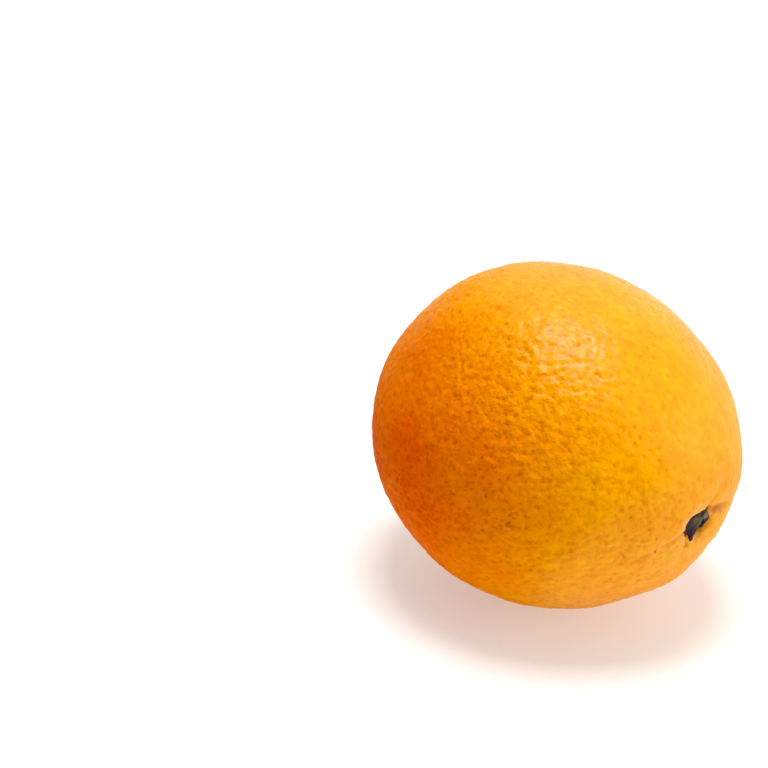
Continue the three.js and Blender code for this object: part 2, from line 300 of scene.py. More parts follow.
class PeelSettings(bpy.types.PropertyGroup):
    """Sizes and colours of the fruit's peel."""

    length: bpy.props.FloatProperty(
        name="Length", description="Fruit's length along its core", default=0.0855, unit="LENGTH")
    diameter: bpy.props.FloatProperty(
        name="Diameter", description="Fruit's width across its middle", default=0.076, unit="LENGTH")
    rest_depth: bpy.props.FloatProperty(
        name="Rest depth", description="How far the peel gives way under the fruit", default=0.00085,
        unit="LENGTH")
    pore_spacing: bpy.props.FloatProperty(
        name="Pore spacing", description="Least distance between two pores", default=0.00165, unit="LENGTH")
    pore_radius: bpy.props.FloatProperty(
        name="Pore radius", description="Radius of a middling pore", default=0.00085, unit="LENGTH")
    pore_depth: bpy.props.FloatProperty(
        name="Pore depth", description="Depth of a middling pore", default=0.00018, unit="LENGTH")
    pebble_size: bpy.props.FloatProperty(
        name="Pebble size", description="Size of the low bumps between the pores", default=0.0016,
        unit="LENGTH")
    pebble_height: bpy.props.FloatProperty(
        name="Pebble height", description="Height of the low bumps", default=0.0011, unit="LENGTH")
    seed: bpy.props.IntProperty(name="Seed", description="Picks the pattern of pores", default=11)
    wax: bpy.props.FloatProperty(
        name="Wax", description="Weight of the wax coat where it is full", default=0.5, subtype="FACTOR")
    # Deep side: the peel's own deeper colour, made deeper and redder still as painted shade on the dim
    # side.
    deep_colour_and_shade: bpy.props.FloatVectorProperty(
        name="Deep side", description="Peel colour on the side that had the most sun", subtype="COLOR",
        size=4, default=colour("f46600"))
    # Pale side: used towards the room's lit side, paler there partly as painted light.
    pale_colour_and_light: bpy.props.FloatVectorProperty(
        name="Pale side", description="Peel colour on the shaded side", subtype="COLOR",
        size=4, default=colour("fdaa06"))
    # Multiplies the peel colour for its specks and pores, and as painted shade in the hollows of its grain.
    speck_pore_and_shade_colour: bpy.props.FloatVectorProperty(
        name="Pores", description="What the peel colour is multiplied by in the pores", subtype="COLOR",
        size=4, default=colour("dcb890"))
    # Lips: a painted highlight, paler where the lips' edges catch the light.
    lip_highlight_colour: bpy.props.FloatVectorProperty(
        name="Lips", description="Peel colour on the navel's lips", subtype="COLOR",
        size=4, default=colour("fbb158"))
    # Folds: painted shade, darker brown deep in the navel's hole and furrows.
    fold_shade_colour: bpy.props.FloatVectorProperty(
        name="Folds", description="Peel colour deep in the navel's folds", subtype="COLOR",
        size=4, default=colour("a0540c"))


class RemnantSettings(bpy.types.PropertyGroup):
    """Sizes and colours of the dried remnant in the navel."""

    thickness: bpy.props.FloatProperty(
        name="Thickness", description="Remnant's thickness along the core", default=0.0028, unit="LENGTH")
    dark_colour: bpy.props.FloatVectorProperty(
        name="Dark", description="Main colour of the remnant", subtype="COLOR",
        size=4, default=colour("3a2830"))
    mould_colour: bpy.props.FloatVectorProperty(
        name="Mould", description="Greenish colour of its upper edge", subtype="COLOR",
        size=4, default=colour("6a6a38"))
    flake_colour: bpy.props.FloatVectorProperty(
        name="Flake", description="Colour of its dry flakes", subtype="COLOR",
        size=4, default=colour("a08c6c"))
    tip_colour: bpy.props.FloatVectorProperty(
        name="Tip", description="Colour of its reddish tip", subtype="COLOR",
        size=4, default=colour("6e3524"))


class ButtonSettings(bpy.types.PropertyGroup):
    """Sizes and colours of the calyx and cut stem."""

    sepal_radius: bpy.props.FloatProperty(
        name="Sepal radius", description="From the stem's middle to a sepal's tip", default=0.0046,
        unit="LENGTH")
    stem_radius: bpy.props.FloatProperty(
        name="Stem radius", description="Radius of the cut stem", default=0.0016, unit="LENGTH")
    sepal_colour: bpy.props.FloatVectorProperty(
        name="Sepals", description="Colour of the dry sepals", subtype="COLOR",
        size=4, default=colour("8c7d44"))
    crease_colour: bpy.props.FloatVectorProperty(
        name="Creases", description="Colour between the sepals", subtype="COLOR",
        size=4, default=colour("3a3018"))
    withered_colour: bpy.props.FloatVectorProperty(
        name="Withered", description="Colour of the sepals' dry tips", subtype="COLOR",
        size=4, default=colour("82602f"))
    stem_colour: bpy.props.FloatVectorProperty(
        name="Cut stem", description="Colour of the stem's cut face", subtype="COLOR",
        size=4, default=colour("b39a6a"))


class StageSettings(bpy.types.PropertyGroup):
    """Camera, floor and light."""

    azimuth: bpy.props.FloatProperty(
        name="Azimuth", description="Camera's turn round the fruit", default=math.radians(44.7),
        unit="ROTATION")
    elevation: bpy.props.FloatProperty(
        name="Elevation", description="Camera's height above level", default=math.radians(25),
        unit="ROTATION")
    lens: bpy.props.FloatProperty(
        name="Lens", description="Focal length on a 36 mm sensor, in millimetres", default=84.3)
    fruit_in_view: bpy.props.FloatVectorProperty(
        name="Fruit in view", description="Fruit's centre to the camera's right, up and ahead",
        default=(0.0377, -0.0113, 0.4021), unit="LENGTH")
    floor_colour: bpy.props.FloatVectorProperty(
        name="Floor", description="Colour of the pale floor", subtype="COLOR",
        size=4, default=colour("d2d0cd"))
    floor_glow: bpy.props.FloatProperty(
        name="Floor glow", description="Light that the lit floor adds from below", default=0.4)
    key_power: bpy.props.FloatProperty(
        name="Key power", description="Power of the softbox overhead, in watts", default=8.0)
    fill_power: bpy.props.FloatProperty(
        name="Fill power", description="Power of the softbox on the right, in watts", default=3.2)
    dim_side: bpy.props.FloatProperty(
        name="Dim side", description="Brightness of the room's dim side", default=0.05)
    bright_side: bpy.props.FloatProperty(
        name="Bright side", description="Brightness of the room's bright side", default=0.85)
    exposure: bpy.props.FloatProperty(
        name="Exposure", description="Exposure of the picture, in stops", default=-0.1)
    black_level: bpy.props.FloatProperty(
        name="Black level", description="Brightness that the picture shows as black", default=0.017)


class Nodes:
    """Lays out a node tree: adds a node and feeds its inputs with sockets or plain values."""

    def __init__(self, tree):
        self.tree = tree

    def feed(self, socket, value):
        """Links a socket to this one or sets a plain value on it."""
        if isinstance(value, bpy.types.NodeSocket):
            self.tree.links.new(value, socket)
        else:
            socket.default_value = value

    def feed_all(self, node, inputs):
        """Feeds a node's inputs by their names or numbers."""
        for key, value in inputs.items():
            self.feed(node.inputs[key], value)

    def add(self, kind, inputs=None, **options):
        """A new node with its options set and its inputs fed."""
        node = self.tree.nodes.new(kind)
        for name, value in options.items():
            setattr(node, name, value)
        self.feed_all(node, inputs or {})
        return node

    def math(self, operation, *values, clamp=False):
        """Result of a sum on numbers."""
        inputs = dict(enumerate(values))
        return self.add("ShaderNodeMath", inputs, operation=operation, use_clamp=clamp).outputs[0]

    def vector(self, operation, *values):
        """Result of a sum on vectors, a number where it gives one."""
        node = self.add("ShaderNodeVectorMath", dict(enumerate(values)), operation=operation)
        return node.outputs["Value" if operation in ("DISTANCE", "DOT_PRODUCT") else "Vector"]

    def along(self, vector, towards):
        """How far a vector reaches in a direction."""
        return self.vector("DOT_PRODUCT", vector, unit(towards).tolist())

    def scaled(self, vector, amount):
        """A vector times a number."""
        return self.add("ShaderNodeVectorMath", {0: vector, "Scale": amount}, operation="SCALE").outputs[0]

    def ramp(self, value, low, high, to_low=0.0, to_high=1.0):
        """Goes smoothly between two numbers as a value goes from low to high."""
        inputs = {"Value": value, 1: low, 2: high, 3: to_low, 4: to_high}
        return self.add("ShaderNodeMapRange", inputs, interpolation_type="SMOOTHSTEP").outputs[0]

    def mix(self, share, low, high, blend="MIX"):
        """A colour with a share of another one laid over it."""
        inputs = {0: share, 6: low, 7: high}
        return self.add("ShaderNodeMix", inputs, data_type="RGBA", blend_type=blend).outputs[2]

    def attribute(self, name):
        """One of the mesh's numbers, in a material."""
        return self.add("ShaderNodeAttribute", attribute_name=name).outputs["Fac"]

    def stored(self, name):
        """One of the mesh's numbers, in a geometry tree."""
        inputs = {"Name": name}
        return self.add("GeometryNodeInputNamedAttribute", inputs, data_type="FLOAT").outputs[0]

    def mottle(self, place, scales):
        """The broad and the fine blotches of the shared group."""
        inputs = {"Vector": place, "Broad scale": scales["broad"], "Fine scale": scales["fine"]}
        group = self.add("ShaderNodeGroup", inputs, node_tree=mottle_group())
        return group.outputs["Broad"], group.outputs["Fine"]


def share_group(name, kind, sockets):
    """A new node group with these (name, direction, type) sockets, and its input and output nodes."""
    tree = bpy.data.node_groups.new(name, kind)
    for label, direction, socket in sockets:
        tree.interface.new_socket(label, in_out=direction, socket_type="NodeSocket" + socket)
    n = Nodes(tree)
    return tree, n, n.add("NodeGroupInput").outputs, n.add("NodeGroupOutput").inputs


def set_inputs(modifier, values):
    """Sets a Geometry Nodes modifier's named inputs through their sockets' identifiers."""
    for item in modifier.node_group.interface.items_tree:
        if item.in_out == "INPUT" and item.name in values:
            modifier[item.identifier] = values[item.name]


def mottle_group():
    """Shader group: masks of broad and of fine, soft blotches."""
    name = "soft_mottle"
    if name in bpy.data.node_groups:
        return bpy.data.node_groups[name]
    tree, n, given, result = share_group(name, "ShaderNodeTree", [
        ("Vector", "INPUT", "Vector"),
        ("Broad scale", "INPUT", "Float"),
        ("Fine scale", "INPUT", "Float"),
        ("Broad", "OUTPUT", "Float"),
        ("Fine", "OUTPUT", "Float"),
    ])
    for label in ("Broad", "Fine"):
        inputs = {
            "Vector": given["Vector"],
            "Scale": given[label + " scale"],
            "Detail": 3.0,
            "Roughness": 0.55,
        }
        blotches = n.add("ShaderNodeTexNoise", inputs).outputs[0]
        n.feed(result[label], n.ramp(blotches, *BLOTCH_RUN))
    return tree


def new_material(name):
    """A material, its node layout and its Principled shader."""
    material = bpy.data.materials.new(name)
    material.use_nodes = True
    n = Nodes(material.node_tree)
    return material, n, material.node_tree.nodes["Principled BSDF"]


def inside(edge, distance, softness):
    """Goes smoothly from 0, well outside an edge, to 1, well inside it."""
    return 0.5 + 0.5 * np.tanh((edge - distance) / softness)


def bump(distance, centre, width):
    """A soft hump, 1 at its centre."""
    return np.exp(-(((distance - centre) / width) ** 2))


def unit(vector):
    """A vector's direction, one long."""
    vector = np.asarray(vector, float)
    return vector / np.linalg.norm(vector)


def crumple(points):
    """Crumpled noise at each point."""
    return np.array([
        noise.fractal(Vector(point), CRUMPLE_FADE, CRUMPLE_STEP, CRUMPLE_LAYERS) for point in points])


class Fruit:
    """The orange's form by rule, from the angle off the navel's axis and the angle round it."""

    def __init__(self, settings):
        self.half_length = settings.length / MM / 2
        self.half_width = settings.diameter / MM / 2
        self.rest_height = self.half_width - settings.rest_depth / MM
        below, aside = NAVEL_BELOW_AXIS, NAVEL_ASIDE
        self.out = np.array([
            math.cos(below) * math.cos(aside), math.cos(below) * math.sin(aside), -math.sin(below)])
        self.across = unit(np.cross((0, 0, 1), self.out))
        self.up = np.cross(self.out, self.across)
        self.end_radius = float(self.body_radius(self.out[None])[0])
        self.end_curve = self.half_width ** 2 / self.half_length

    def body_radius(self, n):
        """Radius of the plain body in some directions."""
        return 1 / np.linalg.norm(n / (self.half_length, self.half_width, self.half_width), axis=1)

    def away(self, n, towards):
        """Distance over the peel, in millimetres, from the place in a direction."""
        return np.arccos(np.clip(n @ unit(towards), -1, 1)) * self.half_width

    def unevenness(self, n):
        """How far the peel stands out from the plain body in some directions."""
        height = np.zeros(len(n))
        for patch in PATCHES:
            height += patch["height"] * bump(self.away(n, patch["towards"]), 0, patch["width"])
        for wave in SWELLS:
            along = n @ unit(wave["towards"]) * self.half_width
            height += wave["height"] * np.sin(2 * math.pi * along / wave["length"] + wave["phase"])
        return height

    @staticmethod
    def hole_radius(angle):
        """Distance from the middle of the navel's hole to its wall."""
        turn = angle - HOLE_TURN
        oval = 0.5 / np.hypot(np.cos(turn) / HOLE_LENGTH, np.sin(turn) / HOLE_WIDTH)
        return oval * (1 + HOLE_SKEW * np.cos(angle - LEANING_SIDE))

    def furrow_depth(self, distance, angle):
        """Depth of the furrows that curl away from the navel's hole."""
        depth = np.zeros_like(distance)
        beyond = np.maximum(0, distance - self.hole_radius(angle))
        for furrow in FURROWS:
            bend = (furrow["start"] - furrow["end"]) * np.exp(-beyond / furrow["curl"])
            turn = angle - np.radians(furrow["end"] + bend)
            aside = np.abs(np.arctan2(np.sin(turn), np.cos(turn))) * distance
            depth += furrow["depth"] * np.exp(-aside / furrow["width"] - (beyond / furrow["reach"]) ** 2)
        return depth

    def navel(self, distance, angle):
        """How far the peel stands out round the navel and leans in, with masks of its folds, which also
        carry painted shade, and of the painted highlight on its lips.
        """
        leaning = np.cos(angle - LEANING_SIDE) * (1 - bump(distance, 0, LEANING_FROM))
        lobed = LIP_EVEN + (1 - LIP_EVEN) * leaning
        furrow = self.furrow_depth(distance, angle)
        edge = self.hole_radius(angle) + FURROW_NICK * furrow
        hole = HOLE_DEPTH * inside(edge, distance, HOLE_WALL)
        dish = DISH_DEPTH * 0.5 * (1 - leaning) * inside(DISH_RADIUS, distance, DISH_WALL)
        lip = LIP_HEIGHT * lobed * bump(distance, edge + LIP_WIDTH, LIP_WIDTH)
        collar = COLLAR_HEIGHT * bump(distance, COLLAR_RADIUS, COLLAR_WIDTH)
        rise = lip + collar - dish - hole - furrow
        lean = LIP_OVERHANG * np.maximum(0, leaning) * bump(distance, edge + OVERHANG_PLACE, OVERHANG_WIDTH)
        fold = hole / HOLE_DEPTH + FURROW_SHADE * furrow
        # Mask of the painted highlight on the lips' edges and the furrows' edges.
        lip_highlight = bump(distance, edge + LIP_HIGHLIGHT_PLACE, LIP_HIGHLIGHT_WIDTH) * lobed
        lip_highlight += FURROW_EDGE_HIGHLIGHT * bump(furrow, FURROW_EDGE_HIGHLIGHT_DEPTH, FURROW_EDGE_HIGHLIGHT_WIDTH)
        return rise, lean, fold, lip_highlight

    @staticmethod
    def stem_end(distance, angle):
        """How far the peel stands out round the stem."""
        dimple = DIMPLE_DEPTH * bump(distance, 0, DIMPLE_WIDTH)
        shoulder = SHOULDER_HEIGHT * bump(distance, SHOULDER_RADIUS, SHOULDER_WIDTH)
        stray = STEM_FOLD_STRAY * np.sin(2 * angle)
        fold = (0.5 + 0.5 * np.cos(STEM_FOLDS * angle + stray)) ** STEM_FOLD_SHARPNESS
        folds = STEM_FOLD_DEPTH * fold * bump(distance, STEM_FOLD_RADIUS, SHOULDER_WIDTH)
        return shoulder - dimple - folds

    def peel(self, off, angle):
        """Peel points in metres, with masks: folds, which also carry painted shade, the painted highlight
        on the lips, plain peel and how coarse it is.
        """
        tangent = np.outer(np.cos(angle), self.across) + np.outer(np.sin(angle), self.up)
        n = np.cos(off)[:, None] * self.out + np.sin(off)[:, None] * tangent
        rise, lean, fold, lip_highlight = self.navel(off * self.end_radius, angle)
        from_stem = (math.pi - off) * self.end_radius
        radius = self.body_radius(n) + self.unevenness(n) + rise + self.stem_end(from_stem, angle)
        points = n * radius[:, None] - tangent * lean[:, None]
        points[:, 2] = np.maximum(0, points[:, 2] + self.rest_height)
        coarse = sum(
            place["share"] * bump(self.away(n, place["towards"]), 0, place["width"]) for place in COARSE)
        masks = {
            "fold": np.clip(fold, 0, 1),
            "lip_highlight": lip_highlight,
            "plain": np.clip(1 - fold, 0, 1) * (1 - inside(UNDER_BUTTON, from_stem, UNDER_BUTTON_EDGE)),
            "coarse": FINE_SHARE + coarse,
        }
        return points * MM, masks

    def navel_place(self, across, up, out):
        """Metres in the part's frame, from millimetres across, up and out of the navel's middle."""
        start = self.out * self.end_radius
        points = start + np.outer(across, self.across) + np.outer(up, self.up) + np.outer(out, self.out)
        points[:, 2] += self.rest_height
        return points * MM


def cube_ball(cuts):
    """Unit directions and quads of a cube's faces, cut evenly and blown out to a ball."""
    steps = np.tan(np.linspace(-1, 1, cuts + 1) * math.pi / 4)
    a, b = np.meshgrid(steps, steps, indexing="ij")
    one = np.ones_like(a)
    sides = [(one, a, b), (-one, b, a), (b, one, a), (a, -one, b), (a, b, one), (b, a, -one)]
    points = np.concatenate([np.stack(side, axis=-1).reshape(-1, 3) for side in sides])
    points /= np.linalg.norm(points, axis=1)[:, None]
    _, first, merged = np.unique(
        np.round(points * MERGE_STEPS), axis=0, return_index=True, return_inverse=True)
    index = merged.reshape(len(sides), cuts + 1, cuts + 1)
    corners = (index[:, :-1, :-1], index[:, 1:, :-1], index[:, 1:, 1:], index[:, :-1, 1:])
    return points[first], np.stack(corners, axis=-1).reshape(-1, 4)


def ring_faces(rows, sides):
    """Quads between rows of points round an axis, and a cap on the first row and the last."""
    index = np.arange(rows * sides).reshape(rows, sides)
    beside = np.roll(index, -1, axis=1)
    quads = np.stack([index[:-1], index[1:], beside[1:], beside[:-1]], axis=-1).reshape(-1, 4)
    return quads.tolist() + [index[0].tolist(), index[-1].tolist()[::-1]]


def make_mesh(name, points, faces, attributes=None):
    """A smooth-shaded mesh object, with one number per point for each attribute."""
    mesh = bpy.data.meshes.new(name)
    mesh.from_pydata(np.asarray(points).tolist(), [], [list(face) for face in faces])
    for label, values in (attributes or {}).items():
        numbers = mesh.attributes.new(label, "FLOAT", "POINT").data
        numbers.foreach_set("value", np.asarray(values, np.float32))
    mesh.polygons.foreach_set("use_smooth", [True] * len(mesh.polygons))
    mesh.update()
    piece = bpy.data.objects.new(name, mesh)
    bpy.context.scene.collection.objects.link(piece)
    return piece


def settle(piece, node):
    """Hands a finished piece to the frame."""
    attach(piece, "root")
    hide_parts(node)


def pore_tree():
    """Geometry Nodes: pores strewn over the peel and pressed in, with low bumps between them."""
    tree, n, given, result = share_group("peel_pores", "GeometryNodeTree", [
        ("Peel", "INPUT", "Geometry"),
        ("Spacing", "INPUT", "Float"),
        ("Radius", "INPUT", "Float"),
        ("Depth", "INPUT", "Float"),
        ("Pebble size", "INPUT", "Float"),
        ("Pebble height", "INPUT", "Float"),
        ("Seed", "INPUT", "Int"),
        ("Finish", "INPUT", "Material"),
        ("Peel", "OUTPUT", "Geometry"),
    ])
    place = n.add("GeometryNodeInputPosition").outputs[0]
    normal = n.add("GeometryNodeInputNormal").outputs[0]
    plain = n.stored("plain")
    pores = n.add("GeometryNodeDistributePointsOnFaces", {
        "Mesh": given["Peel"],
        "Distance Min": given["Spacing"],
        "Density Max": PORE_DENSITY,
        "Seed": given["Seed"],
    }, distribute_method="POISSON").outputs["Points"]
    nearest = n.add("GeometryNodeSampleNearest", {"Geometry": pores}).outputs[0]
    least, greatest = PORE_SIZES
    vary = n.add("FunctionNodeRandomValue", {2: least, 3: greatest}, data_type="FLOAT").outputs[1]

    def at_pore(value, kind):
        """A value at the pore nearest to each point."""
        inputs = {"Geometry": pores, "Value": value, "Index": nearest}
        return n.add("GeometryNodeSampleIndex", inputs, data_type=kind).outputs[0]

    size = at_pore(vary, "FLOAT")
    away = n.vector("DISTANCE", place, at_pore(place, "FLOAT_VECTOR"))
    reach = n.math("MULTIPLY", given["Radius"], size)
    pit = n.math("MULTIPLY", n.ramp(n.math("DIVIDE", away, reach), 0.0, 1.0, 1.0, 0.0), plain)
    pressed = n.math("MULTIPLY", n.math("MULTIPLY", pit, given["Depth"]), size)
    bumps = n.add("ShaderNodeTexNoise", {
        "Vector": place,
        "Scale": n.math("DIVIDE", 1.0, given["Pebble size"]),
        "Detail": 1.0,
        "Distortion": 0.7,
    }).outputs[0]
    tallest = n.math("MULTIPLY", n.stored("coarse"), given["Pebble height"])
    raised = n.math("MULTIPLY", n.math("SUBTRACT", bumps, 0.5), tallest)
    lift = n.math("SUBTRACT", n.math("MULTIPLY", raised, plain), pressed)
    marked = n.add("GeometryNodeStoreNamedAttribute", {
        "Geometry": given["Peel"],
        "Name": "pore",
        "Value": n.math("MULTIPLY", pit, size),
    }, data_type="FLOAT").outputs[0]
    moved = n.add("GeometryNodeSetPosition", {
        "Geometry": marked, "Offset": n.scaled(normal, lift)}).outputs[0]
    x, y, z = n.add("ShaderNodeSeparateXYZ", {0: place}).outputs
    grounded = n.add("ShaderNodeCombineXYZ", {0: x, 1: y, 2: n.math("MAXIMUM", z, 0.0)}).outputs[0]
    rested = n.add("GeometryNodeSetPosition", {"Geometry": moved, "Position": grounded}).outputs[0]
    whole = n.add("GeometryNodeRealizeInstances", {0: rested}).outputs[0]
    finished = n.add("GeometryNodeSetMaterial", {"Geometry": whole, "Material": given["Finish"]}).outputs[0]
    n.feed(result["Peel"], finished)
    return tree


def peel_material(settings, fruit):
    """Waxy peel, deep on its dim side and pale on its lit side, partly as painted shade and light, with
    darker pores, painted shade in its hollows and folds, a painted highlight on the navel's lips, marks,
    painted shadows by the navel, and gloss.
    """
    material, n, shader = new_material("waxy_orange_peel")
    place = n.add("ShaderNodeTexCoord").outputs["Object"]
    from_middle = n.vector("SUBTRACT", place, (0, 0, fruit.rest_height * MM))
    broad, fine = n.mottle(place, PEEL_BLOTCHES)
    coarse = n.attribute("coarse")
    half_width = fruit.half_width * MM

    blush_shade_from, blush_shade_to = (share * half_width for share in BLUSH_AND_SHADE_RUN)
    # Deep to pale across the fruit: partly the peel's own blush, partly painted shade on the dim side and
    # painted light on the lit side.
    blush_and_shade = n.ramp(n.along(from_middle, BLUSH_AND_LIGHT_TOWARDS), blush_shade_from, blush_shade_to)
    patches = n.math("MULTIPLY", n.math("SUBTRACT", broad, 0.5), BLUSH_PATCHES)
    tint = n.mix(n.math("ADD", blush_and_shade, patches, clamp=True), settings.deep_colour_and_shade, settings.pale_colour_and_light)

    stray = n.add("ShaderNodeTexNoise", {"Vector": place, "Scale": STRAY_SCALE}).outputs["Color"]
    ragged = n.vector("ADD", place, n.scaled(n.vector("SUBTRACT", stray, (0.5, 0.5, 0.5)), STRAY_REACH))
    sand = n.add("ShaderNodeTexNoise", {"Vector": place, "Scale": SAND_SCALE, "Detail": 2.0}).outputs[0]
    hollows = n.add(
        "ShaderNodeTexVoronoi", {"Vector": ragged, "Scale": GRAIN_SCALE}, feature="SMOOTH_F1").outputs[0]
    grain = n.math("ADD", n.math("MULTIPLY", sand, SAND_SHARE), hollows)

    specks = n.math("MULTIPLY", fine, SPECKLE_SHARE)
    dots = n.math("MULTIPLY", n.ramp(n.attribute("pore"), *PORE_RUN, 0.0, PORE_SHARE), coarse)
    # Painted shade: the hollows of the fine grain are darkened.
    hollow_shade = n.math("MULTIPLY", n.ramp(grain, *HOLLOW_SHADE_RUN, HOLLOW_SHADE_SHARE, 0.0), coarse)
    for darker in (specks, dots, hollow_shade):
        tint = n.mix(darker, tint, settings.speck_pore_and_shade_colour, "MULTIPLY")
    # Painted highlight on the navel's lips and furrow edges.
    tint = n.mix(n.math("MULTIPLY", n.attribute("lip_highlight"), LIP_HIGHLIGHT_SHARE), tint, settings.lip_highlight_colour)
    # Marks, and painted shadows below the remnant.
    for mark_or_shadow in MARKS_AND_SHADOWS:
        x, y, z = mark_or_shadow["spot"]
        away = n.vector("DISTANCE", ragged, (x * MM, y * MM, (z + fruit.rest_height) * MM))
        radius = mark_or_shadow["radius"] * MM
        near = n.ramp(away, MARK_AND_SHADOW_CORE * radius, radius, mark_or_shadow["strength"], 0.0)
        tint = n.mix(near, tint, colour(mark_or_shadow["colour"]))
    # Painted shade deep in the navel's hole and furrows.
    tint = n.mix(n.ramp(n.attribute("fold"), *FOLD_SHADE_RUN), tint, settings.fold_shade_colour)

    level = n.add("ShaderNodeSeparateXYZ", {0: place}).outputs["Z"]
    dull = n.ramp(level, *GLOSS_HEIGHTS, *GLOSS_ROUGHNESS)
    height = n.math("MULTIPLY", grain, coarse)
    relief = n.add("ShaderNodeBump", {"Height": height, "Strength": 1.0, "Distance": GRAIN_RELIEF})
    wax = []
    for spot in WAXED:
        begins, full = spot["begins"] * half_width, spot["full"] * half_width
        wax.append(n.ramp(n.along(from_middle, spot["towards"]), begins, full, 0.0, settings.wax))
    n.feed_all(shader, {
        "Base Color": tint,
        "Roughness": n.math("ADD", dull, n.math("MULTIPLY", fine, GLOSS_PATCHES)),
        "Normal": relief.outputs[0],
        "Coat Weight": n.math("MAXIMUM", *wax),
        "Coat Roughness": WAX_ROUGHNESS,
        "Coat IOR": PEEL_IOR,
        "Specular IOR Level": PEEL_SPECULAR,
        "IOR": PEEL_IOR,
    })
    return material


def peel_lattice():
    """Angles off the navel's axis and round it, and quads, closer together at both ends."""
    directions, quads = cube_ball(LATTICE_CUTS)
    even = np.arccos(np.clip(directions[:, 2], -1, 1))
    off = even.copy()
    for end, sign in ((0, 1), (math.pi, -1)):
        away = np.abs(even - end)
        off -= sign * END_DRAW * away * bump(away, 0, END_REACH)
    return off, np.arctan2(directions[:, 1], directions[:, 0]), quads


class ORANGE_OT_peel(bpy.types.Operator):
    """Make the fruit with its pored peel, folded navel and stem dimple"""

    bl_idname = "orange.peel"
    bl_label = "Peel"

    def execute(self, context):
        settings = context.scene.orange_peel
        fruit = Fruit(settings)
        off, angle, quads = peel_lattice()
        points, masks = fruit.peel(off, angle)
        piece = make_mesh("orange_fruit", points, quads, masks)
        modifier = piece.modifiers.new("pores", "NODES")
        modifier.node_group = pore_tree()
        set_inputs(modifier, {
            "Spacing": settings.pore_spacing,
            "Radius": settings.pore_radius,
            "Depth": settings.pore_depth,
            "Pebble size": settings.pebble_size,
            "Pebble height": settings.pebble_height,
            "Seed": settings.seed,
            "Finish": peel_material(settings, fruit),
        })
        graph = context.evaluated_depsgraph_get()
        pored = bpy.data.meshes.new_from_object(
            piece.evaluated_get(graph), preserve_all_data_layers=True, depsgraph=graph)
        if "pore" not in pored.attributes:
            raise RuntimeError("the pores weren't pressed into the peel")
        piece.modifiers.clear()
        piece.data = pored
        settle(piece, "fruit")
        return {"FINISHED"}


def dry_material(name, main, stains_and_shade):
    """Dried plant matter, matt and finely wrinkled: a mottled colour, then other colours, some of them
    painted shade, laid over by (mask, colour).
    """
    material, n, shader = new_material(name)
    place = n.add("ShaderNodeTexCoord").outputs["Object"]
    broad, fine = n.mottle(place, DRY_BLOTCHES)
    shade = n.mix(n.math("MULTIPLY", broad, DRY_SHADE_SHARE), main, colour(DRY_SHADE))
    for mask, stain_or_shade in stains_and_shade:
        share = n.math("MULTIPLY", n.attribute(mask), n.ramp(fine, 0.0, 1.0, *DRY_STAIN_SHARES))
        shade = n.mix(share, shade, stain_or_shade)
    relief = n.add("ShaderNodeBump", {
        "Height": fine, "Strength": DRY_RELIEF_STRENGTH, "Distance": DRY_RELIEF})
    n.feed_all(shader, {
        "Base Color": shade,
        "Roughness": n.ramp(fine, 0.0, 1.0, *DRY_ROUGHNESS),
        "Normal": relief.outputs[0],
    })
    return material


def stretched(across, up, oval):
    """Distance from an oval's middle, as a share of its half-length and half-width."""
    turn = math.radians(oval["angle"])
    a, b = across - oval["spot"][0], up - oval["spot"][1]
    along = a * math.cos(turn) + b * math.sin(turn)
    aside = b * math.cos(turn) - a * math.sin(turn)
    return np.hypot(along / oval["length"], aside / oval["width"])


class ORANGE_OT_remnant(bpy.types.Operator):
    """Make the crumpled, dried remnant that plugs the navel"""

    bl_idname = "orange.remnant"
    bl_label = "Navel remnant"

    def execute(self, context):
        settings = context.scene.orange_remnant
        fruit = Fruit(context.scene.orange_peel)
        directions, quads = cube_ball(REMNANT_CUTS)
        rough = crumple(directions * REMNANT_CRUMPLES)
        facing = directions[:, 2]
        angle = np.arctan2(directions[:, 1], directions[:, 0])
        spread = np.hypot(directions[:, 0], directions[:, 1])
        hole = fruit.hole_radius(angle)
        reach = hole + FURROW_NICK * fruit.furrow_depth(hole, angle)
        for tail in TAILS:
            turn = np.degrees(angle) - tail["angle"]
            reach += tail["length"] * bump((turn + 180) % 360 - 180, 0, tail["width"])
        reach *= spread * (1 + FRAYED_SHARE * rough)
        across, up = reach * np.cos(angle), reach * np.sin(angle)
        spots = {"pit": PIT, "flake": FLAKE, "mould": MOULD, "husk": HUSK}
        masks = {
            name: np.clip(SPOT_FADE * facing, 0, 1) * bump(stretched(across, up, spot), 0, 1)
            for name, spot in spots.items()}
        masks["tip"] = inside(across, TIP_FROM, TIP_EDGE)
        skin = fruit.navel(reach, angle)[0] - reach ** 2 / (2 * fruit.end_curve)
        crumpled = REMNANT_TOP + CRUMPLE_HEIGHT * rough
        crumpled += FLAKE_HEIGHT * masks["flake"] - PIT_DEPTH * masks["pit"]
        high = np.maximum(crumpled, skin + CLING + CLING_CRUMPLE * rough)
        high -= EDGE_TUCK * CLING * spread ** EDGE_TUCK_SHARPNESS
        high -= settings.thickness / MM * np.maximum(0, -facing)
        points = fruit.navel_place(across, up, high + fruit.unevenness(fruit.out[None])[0])
        piece = make_mesh("navel_remnant_dried", points, quads, masks)
        # The pit's near-black colour is painted shade; the other colours are the remnant's own.
        piece.data.materials.append(dry_material("dried_remnant", settings.dark_colour, [
            ("mould", settings.mould_colour),
            ("husk", settings.flake_colour),
            ("flake", settings.flake_colour),
            ("tip", settings.tip_colour),
            ("pit", colour(PIT_SHADE_COLOUR)),
        ]))
        settle(piece, "navel_remnant")
        return {"FINISHED"}


def sepal_underside(fruit, radius):
    """Height of the sepals' underside, from the plain end of the fruit."""
    return BUTTON_GAP - DIMPLE_DEPTH * bump(radius, 0, DIMPLE_WIDTH) - radius ** 2 / (2 * fruit.end_curve)


